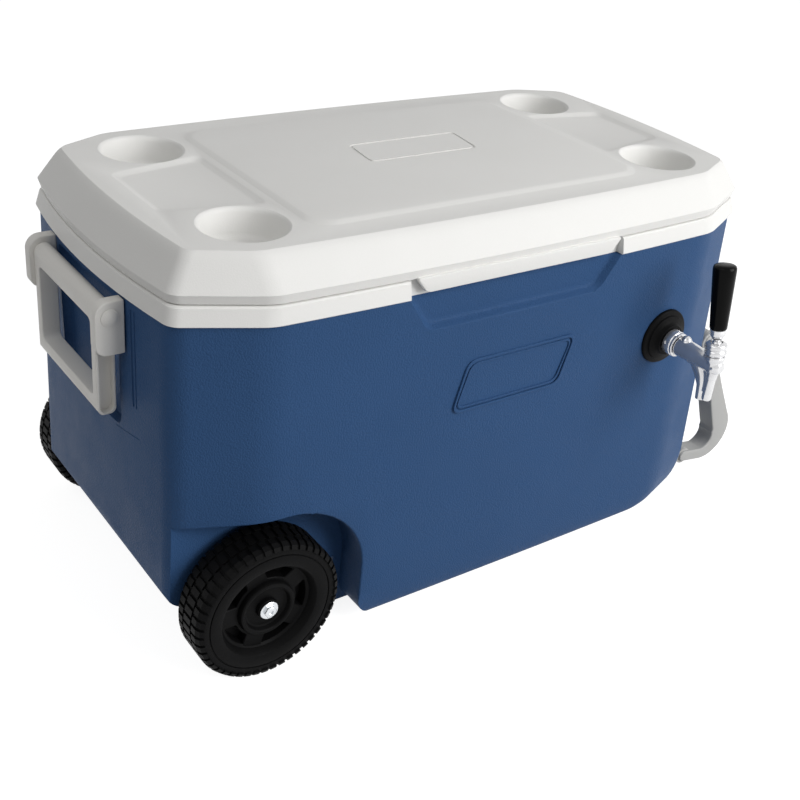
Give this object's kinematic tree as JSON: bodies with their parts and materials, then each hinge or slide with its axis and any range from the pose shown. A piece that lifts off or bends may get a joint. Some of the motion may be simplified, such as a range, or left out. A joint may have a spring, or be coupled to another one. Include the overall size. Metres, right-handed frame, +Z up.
{
  "type": "kegerator",
  "caption": "Wheeled ice chest with a hinged lid, cup holders, carry and tow handles, a chrome beer faucet on a wall shank and a cooling coil inside.",
  "frame": {"origin": "on the ground, under the middle of the whole object's box", "axes": "+X along the cooler from the wheels' end to the tow handle's end, +Y from the faucet's side to the hinges' side, +Z up"},
  "size_m": [0.8529, 0.4826, 0.4445],
  "materials": {
    "blue_shell": "moulded with a fine pebbled grain",
    "white_plastic": "moulded, satin",
    "light_grey_plastic": "moulded, satin",
    "black_plastic": "moulded, semi-gloss",
    "chrome": "polished plate",
    "stainless_steel": "drawn, bright",
    "black_rubber": "moulded",
    "insulating_foam": "foamed in place, rigid"
  },
  "bodies": {
    "cooler": {"body_shell": "blue_shell", "body_foam": "insulating_foam", "body_liner": "white_plastic", "hinge_body_leaf_left": "light_grey_plastic", "hinge_body_leaf_right": "light_grey_plastic", "hinge_pin_left": "stainless_steel", "hinge_pin_right": "stainless_steel", "bail_bracket_front": "light_grey_plastic", "bail_bracket_back": "light_grey_plastic", "bail_pin_front": "light_grey_plastic", "bail_pin_back": "light_grey_plastic", "tow_bracket_front": "light_grey_plastic", "tow_bracket_back": "light_grey_plastic", "tow_pin_front": "light_grey_plastic", "tow_pin_back": "light_grey_plastic", "axle": "stainless_steel", "axle_washer_front": "stainless_steel", "axle_washer_back": "stainless_steel", "axle_cap_front": "stainless_steel", "axle_cap_back": "stainless_steel", "axle_strap_front": "stainless_steel", "axle_strap_back": "stainless_steel", "foot_front": "black_rubber", "foot_back": "black_rubber", "tap_flange": "black_plastic", "tap_shank": "stainless_steel", "coupling_nut": "chrome", "tap_inner_washer": "black_plastic", "tap_lock_nut": "stainless_steel", "tap_tail_nut": "stainless_steel", "faucet_body": "chrome", "faucet_bonnet": "chrome", "cooling_coil": "stainless_steel", "inlet_shank": "stainless_steel", "inlet_flange": "black_plastic", "inlet_inner_washer": "black_plastic", "inlet_lock_nut": "stainless_steel", "inlet_tail_nut": "stainless_steel", "drain_spout": "white_plastic", "drain_nut": "white_plastic", "drain_gasket": "black_rubber"},
    "lid": {"lid_shell": "white_plastic", "lid_liner": "white_plastic", "lid_foam": "insulating_foam", "hinge_lid_leaf_left": "light_grey_plastic", "hinge_lid_leaf_right": "light_grey_plastic"},
    "bail": {"bail_handle": "light_grey_plastic"},
    "tow": {"tow_handle": "light_grey_plastic"},
    "front_wheel": {"wheel_front": "black_plastic"},
    "back_wheel": {"wheel_back": "black_plastic"},
    "lever": {"faucet_lever": "chrome", "lever_ferrule": "chrome", "tap_handle": "black_plastic"},
    "plunger": {"faucet_plunger": "stainless_steel", "seat_washer": "black_rubber"},
    "cap": {"drain_cap": "white_plastic"}
  },
  "joints": [
    {"name": "lid_hinge", "type": "hinge", "parent": "cooler", "child": "lid", "pos_m": [0, 0.2335, 0.4015], "axis": [-1, 0, 0], "range_deg": [0, 100]},
    {"name": "bail_swing", "type": "hinge", "parent": "cooler", "child": "bail", "pos_m": [-0.41275, 0.0365, 0.3645], "axis": [0, 1, 0], "range_deg": [0, 110]},
    {"name": "tow_swing", "type": "hinge", "parent": "cooler", "child": "tow", "pos_m": [0.342, 0.0365, 0.205], "axis": [0, -1, 0], "range_deg": [0, 130]},
    {"name": "front_wheel_spin", "type": "hinge", "parent": "cooler", "child": "front_wheel", "pos_m": [-0.3075, -0.145, 0.079], "axis": [0, 1, 0], "continuous": true},
    {"name": "back_wheel_spin", "type": "hinge", "parent": "cooler", "child": "back_wheel", "pos_m": [-0.3075, 0.218, 0.079], "axis": [0, 1, 0], "continuous": true},
    {"name": "lever_pull", "type": "hinge", "parent": "cooler", "child": "lever", "pos_m": [0.1978, -0.22763, 0.28751], "axis": [1, 0, 0], "range_deg": [0, 25]},
    {"name": "plunger_slide", "type": "slide", "parent": "cooler", "child": "plunger", "axis": [0, 1, 0], "range_m": [0, 0.0099]},
    {"name": "cap_turn", "type": "hinge", "parent": "cooler", "child": "cap", "pos_m": [0.34, 0.0365, 0.077], "axis": [1, 0, 0], "range_deg": [0, 540]}
  ],
  "couplings": [
    {"joint": "plunger_slide", "follows": "lever_pull", "m_per_rad": 0.02248}
  ]
}
